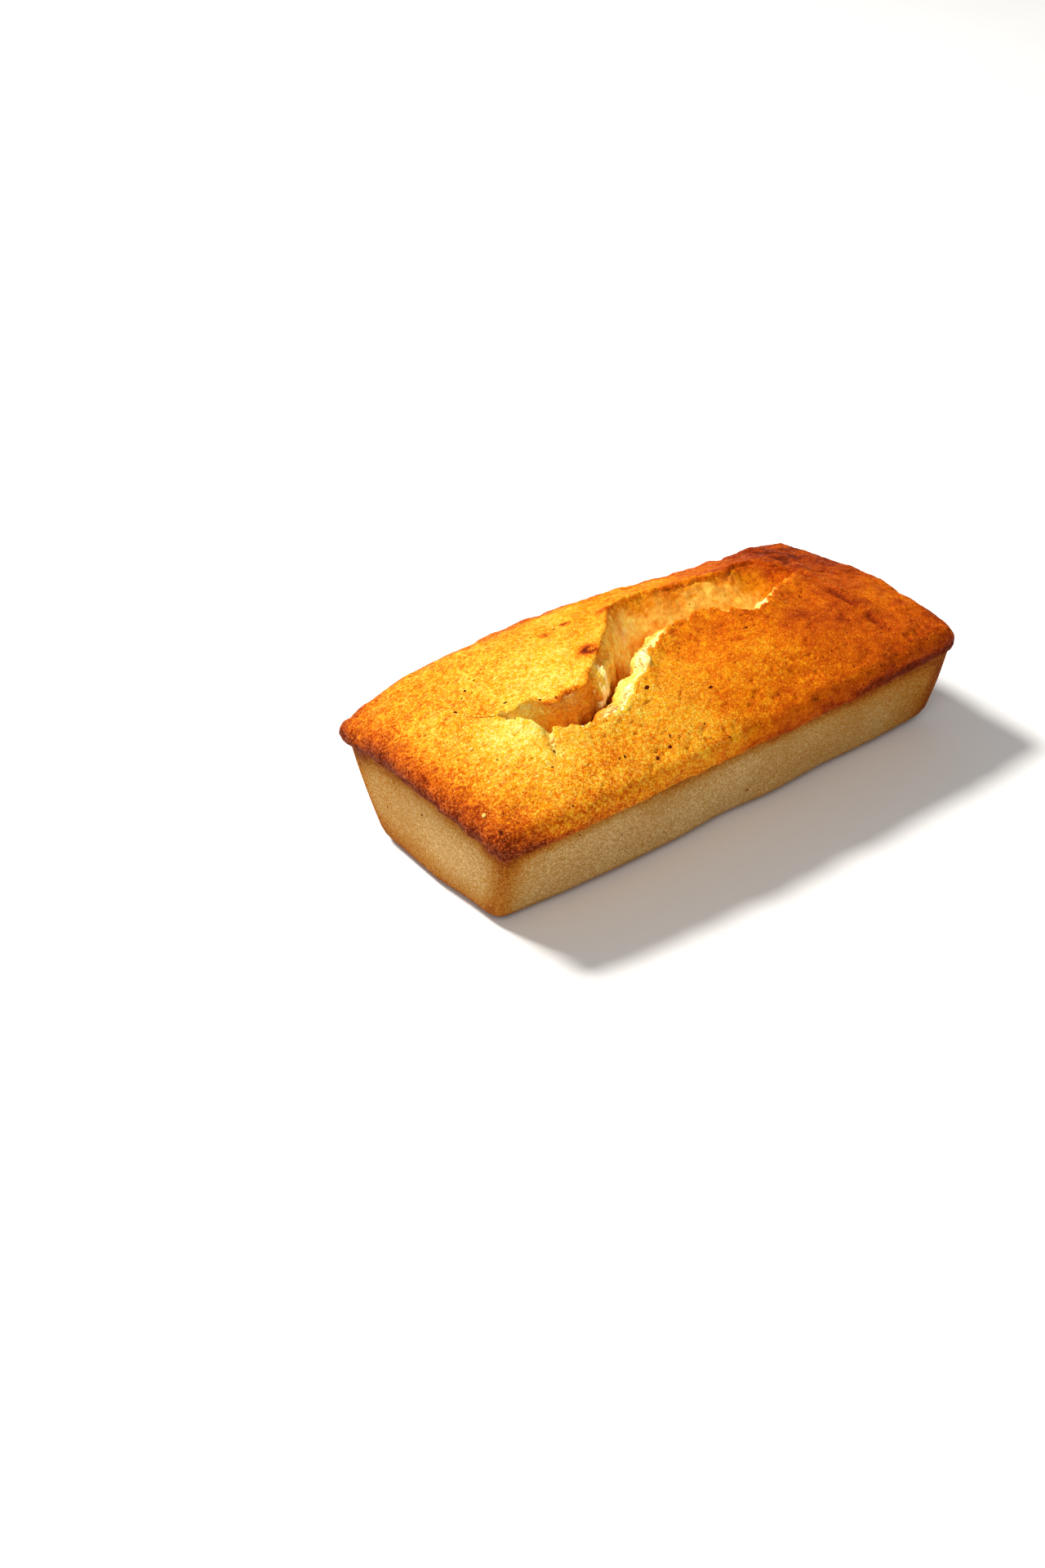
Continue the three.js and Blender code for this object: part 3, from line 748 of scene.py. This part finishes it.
def cake_material():
    """Crust, torn crumb and moulded side in one material, shared out by the point attributes."""
    m = Nodes("baked_cake")
    bake_and_shade, crumb_share, side_share, amber_and_shade, toast_and_shade, froth = (
        m.attribute(n) for n in ("bake_and_shade", "crumb", "side", "amber_and_shade", "toast_and_shade", "froth")
    )
    place = m.warped(0.3, 0.12)
    granule, chance = m.cells(GRANULE, place)
    small, small_chance = m.cells(SMALL_GRANULE, place)
    granule = m.spread(granule, 0.1, 0.6, 1.0, 0.0)
    small = m.spread(small, 0.1, 0.6, 1.0, 0.0)
    fine_grain = m.noise(SPECKLE, 3, 0.7)
    pores = m.noise(PORE, 3, 0.65)
    crust = crust_colour(m, bake_and_shade, froth, granule, chance, small, small_chance, fine_grain)
    open_crumb = m.ramp(m.total(amber_and_shade, (m.noise(0.9, 5, 0.72), 0.9, -0.45)), CRUMB)
    walls = side_colour(m, toast_and_shade, pores, small_chance, chance, granule)
    colour = m.mix(side_share, m.mix(crumb_share, crust, open_crumb), walls)
    m.link(colour, m.shader.inputs["Base Color"])
    matt = m.math("MAXIMUM", side_share, crumb_share)
    roughness = m.mix_value(matt, m.spread(chance, 0.2, 1.0, MATT, 0.5), MATT)
    m.link(roughness, m.shader.inputs["Roughness"])
    m.shader.inputs["Specular IOR Level"].default_value = SPECULAR
    m.shader.inputs["Subsurface Weight"].default_value = SUBSURFACE
    m.shader.inputs["Subsurface Radius"].default_value = SUBSURFACE_RADIUS
    m.shader.inputs["Subsurface Scale"].default_value = 0.001
    crust_height = m.math("MULTIPLY", m.math("MULTIPLY", granule, chance), 0.6)
    crust_height = m.total(crust_height, (small, 0.4, 0), (fine_grain, 0.3, 0))
    soft_height = m.total(m.math("MULTIPLY", pores, 0.7), (fine_grain, 0.4, 0))
    height = m.mix_value(matt, crust_height, soft_height)
    m.link(m.bump(height, 0.2), m.shader.inputs["Normal"])
    return m.material


cake_data.materials.append(cake_material())
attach(cake, "root")
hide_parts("cake")

# --- Almond-skin flecks, loose crumbs and the torn flake ------------------------------------------

surface = BVHTree.FromPolygons(fine.tolist(), np.concatenate(quads).tolist() + fan.tolist())
OFFSET = Vector((middle[0], middle[1], 0))
TOP_FLECKS = [
    (-34.8, 3.4), (-30.4, 7.3), (-31.9, 5.9), (-30, 5.9), (-27, 11.4), (-24.2, -4.2), (-22, -5.2),
    (-36.3, -9.5), (-35.9, -11.4), (-28.3, -12.8), (-30.6, -15.6), (-32.1, -12.5), (-32, -22.2),
    (-20.2, -19.5), (-15.9, -21.9), (-11.9, -19.9), (-5.7, -20.5), (-5.8, -23.9), (-3.4, -23.7),
    (-16.4, -23.4), (13.8, -7.2), (6.3, -13.4), (-9.4, -11.4), (-0.4, -7.7), (-41.4, -18),
    (-43.8, -20.4), (17.4, -16.9), (-0.2, -15.3), (-13.1, -21.3), (0.5, -7.6), (-28.4, -0.8),
]  # fmt: skip
FRONT_FLECKS = [
    (-36.7, 10.1), (-22.4, 9.2), (-31, 13.9), (-38.3, 16.3), (37.8, 4), (3.2, 5.1), (-0.1, 16.8),
    (-6.8, 15.5),
]  # fmt: skip
LEFT_FLECKS = [(0.4, 12.6), (11.1, 8.8)]
LARGE_CRUMBS = [
    ((-27.2, -11.2), 0.75), ((-27.8, -12.4), 0.5), ((-37.8, -5), 0.45), ((-43.7, -16.3), 0.45),
    ((-39.5, -11.8), 0.3),
]  # fmt: skip
FLAKE_TIP, FLAKE_ROOT, FLAKE_RADIUS = Vector((-11.7, -2.3, 26.2)), Vector((-14.3, -6.0, 22.5)), 1.1
RANDOM_TOP_FLECKS, RANDOM_BACK_FLECKS, RANDOM_RIGHT_FLECKS, SMALL_CRUMBS = 24, 12, 5, 110
FLECK_FLATNESS, CRUMB_FLATNESS, SUNK = 0.45, 0.42, 0.25


def unit_ball(subdivisions):
    """A unit ball's points and faces."""
    bm = bmesh.new()
    bmesh.ops.create_icosphere(bm, subdivisions=subdivisions, radius=1)
    ball = np.array([v.co[:] for v in bm.verts])
    faces = np.array([[v.index for v in f.verts] for f in bm.faces])
    bm.free()
    return ball, faces


def strew(name, hits, radii, flatness, seed):
    """One mesh of uneven little lumps, each sunk partly into the surface."""
    ball, faces = unit_ball(2)
    draw = np.random.default_rng(seed)
    all_points, all_faces = [], []
    for n, ((place, normal), radius) in enumerate(zip(hits, radii)):
        spin = Matrix.Rotation(draw.uniform(0, 6.28), 3, "Z")
        turn = normal.to_track_quat("Z", "Y").to_matrix() @ spin
        shape = ball * (1 + 0.5 * grain(ball, 0.9, 3 * n + seed)[:, None])
        shape = shape * (draw.uniform(0.8, 1.5), draw.uniform(0.5, 1), flatness) * radius
        place = np.array(place) + np.array(normal) * radius * flatness * SUNK
        all_points.append(shape @ np.array(turn).T + place)
        all_faces.append(faces + n * len(ball))
    return mesh_object(name, np.concatenate(all_points), np.concatenate(all_faces).tolist())


def hit(start, way):
    """Where a ray meets the crust, and the normal there."""
    place, normal, _, _ = surface.ray_cast(Vector(start) - OFFSET, Vector(way))
    return place, normal


def from_above(x, y):
    return hit((x, y, 60), (0, 0, -1))


def fleck_pieces():
    """The flecks that the photo shows, and a few at random on the sides it does not."""
    draw = np.random.default_rng(5)
    hits = [from_above(*p) for p in TOP_FLECKS]
    hits += [hit((x, -60, z), (0, 1, 0)) for x, z in FRONT_FLECKS]
    hits += [hit((-90, y, z), (1, 0, 0)) for y, z in LEFT_FLECKS]
    radii = [0.13 + 0.22 * draw.random() ** 2 for _ in hits]
    for _ in range(RANDOM_TOP_FLECKS):
        hits.append(from_above(draw.uniform(-40, 40), draw.uniform(-20, 20)))
    for _ in range(RANDOM_BACK_FLECKS):
        hits.append(hit((draw.uniform(-38, 38), 60, draw.uniform(3, 16)), (0, -1, 0)))
    for _ in range(RANDOM_RIGHT_FLECKS):
        hits.append(hit((90, draw.uniform(-14, 14), draw.uniform(3, 14)), (-1, 0, 0)))
    radii += [draw.uniform(0.08, 0.22) for _ in range(len(hits) - len(radii))]
    return strew("almond_skin_flecks", hits, radii, FLECK_FLATNESS, 11)


def crumb_pieces():
    """Small crumbs at random, most of them on the ledge, and the large ones of the photo."""
    draw = np.random.default_rng(8)
    chance = crumb * (on_ledge + 0.15 * fact["flake"] + 0.15 * (inside < 1))
    chance += 0.0006 * (1 - side) * (x < 0)
    chosen = draw.choice(len(points), SMALL_CRUMBS, replace=False, p=chance / chance.sum())
    hits = [(Vector(fine[i]), Vector(normals[i])) for i in chosen]
    radii = list(draw.uniform(0.12, 0.34, len(hits)))
    hits += [from_above(*place) for place, _ in LARGE_CRUMBS]
    radii += [radius for _, radius in LARGE_CRUMBS]
    return strew("loose_crumbs", hits, radii, CRUMB_FLATNESS, 21)


def flake_piece():
    """A torn, fluffy plume of crumb that stands out from the wall of the left lobe."""
    ball, faces = unit_ball(5)
    swell = 0.95 + 0.3 * grain(ball, 0.7, 31) + 0.35 * granules(ball, 0.4, 33)
    shape = ball * (swell + 0.14 * grain(ball, 0.2, 35))[:, None]
    length = FLAKE_TIP - FLAKE_ROOT
    shape = shape * (FLAKE_RADIUS, FLAKE_RADIUS, length.length / 2)
    turn = np.array(length.to_track_quat("Z", "Y").to_matrix())
    centre = np.array((FLAKE_TIP + FLAKE_ROOT) / 2 - OFFSET)
    return mesh_object("torn_flake", shape @ turn.T + centre, faces.tolist())


def grain_material(name, dark, light, size_mm, roughness):
    """A matt, mottled material of two colours."""
    m = Nodes(name)
    shade = m.noise(size_mm, 3, 0.6)
    m.link(m.ramp(shade, [(0.3, dark), (0.7, light)]), m.shader.inputs["Base Color"])
    m.link(m.spread(shade, 0.2, 0.8, roughness, roughness + 0.15), m.shader.inputs["Roughness"])
    m.shader.inputs["Specular IOR Level"].default_value = SPECULAR
    m.link(m.bump(m.noise(size_mm / 3, 2), 0.05, 0.6), m.shader.inputs["Normal"])
    return m.material


flecks, crumbs, torn_flake = fleck_pieces(), crumb_pieces(), flake_piece()
flecks.data.materials.append(grain_material("almond_skin", (58, 14, 3), (124, 46, 12), 0.4, 0.7))
crumbs.data.materials.append(
    grain_material("pale_crumb", (242, 184, 76), (253, 218, 128), 0.5, 0.6)
)
torn_flake.data.materials.append(
    grain_material("torn_crumb", (250, 206, 112), (255, 238, 176), 0.9, 0.7)
)
for piece in (flecks, crumbs, torn_flake):
    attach(piece, "root")

# --- Camera, floor and light ----------------------------------------------------------------------

CAMERA_TARGET, CAMERA_DISTANCE = (-17.84, 13.28, 0), 0.39294  # millimetres; metres
FLOOR_HALF, WORLD_LIGHT, LIGHT_AIM = 4000, 0.28, Vector((0, 0, 0.01))


def camera():
    """The photograph's view: a 55 mm lens, a little rolled, aimed at a spot on the floor."""
    bearing, tilt, roll = (math.radians(v) for v in (32.35, 33.043, 5.797))
    level_way = Vector((math.sin(bearing), math.cos(bearing), 0))
    ahead = level_way * math.cos(tilt) - Vector((0, 0, math.sin(tilt)))
    flat_right = Vector((math.cos(bearing), -math.sin(bearing), 0))
    flat_up = flat_right.cross(ahead)
    right = math.cos(roll) * flat_right - math.sin(roll) * flat_up
    up = math.sin(roll) * flat_right + math.cos(roll) * flat_up
    target = (Vector(CAMERA_TARGET) - OFFSET) / 1000
    data = bpy.data.cameras.new("camera")
    data.lens = 55
    data.sensor_width = 36
    data.clip_start = 0.01
    obj = bpy.data.objects.new("camera", data)
    turn = Matrix((right, up, -ahead)).transposed().to_4x4()
    obj.matrix_world = Matrix.Translation(target - ahead * CAMERA_DISTANCE) @ turn
    bpy.context.collection.objects.link(obj)
    bpy.context.scene.camera = obj


def area(name, place, size, watts, colour):
    """A round soft light that points at the cake."""
    data = bpy.data.lights.new(name, "AREA")
    data.shape = "DISK"
    data.size = size
    data.energy = watts
    data.color = colour
    obj = bpy.data.objects.new(name, data)
    obj.location = place
    obj.rotation_euler = (Vector(place) - LIGHT_AIM).to_track_quat("Z", "Y").to_euler()
    bpy.context.collection.objects.link(obj)


def studio():
    """A pale floor under soft daylight."""
    corners = [(i * FLOOR_HALF, j * FLOOR_HALF, 0) for i, j in ((-1, -1), (1, -1), (1, 1), (-1, 1))]
    floor = mesh_object("floor", corners, [(0, 1, 2, 3)])
    m = Nodes("pale_floor")
    grey = m.ramp(m.noise(40, 2), [(0.0, (236, 236, 236)), (1.0, (242, 242, 242))])
    m.link(grey, m.shader.inputs["Base Color"])
    m.shader.inputs["Roughness"].default_value = 0.8
    floor.data.materials.append(m.material)
    world = bpy.data.worlds.new("studio")
    world.use_nodes = True
    background = world.node_tree.nodes["Background"]
    background.inputs["Color"].default_value = (1, 1, 1, 1)
    background.inputs["Strength"].default_value = WORLD_LIGHT
    bpy.context.scene.world = world
    area("key", (-0.21, 0.50, 0.70), 0.20, 10.4, (1, 0.98, 0.94))
    area("fill", (-0.34, -0.44, 0.48), 0.5, 1.7, (1, 0.97, 0.9))
    bpy.context.scene.view_settings.view_transform = "Standard"


camera()
studio()
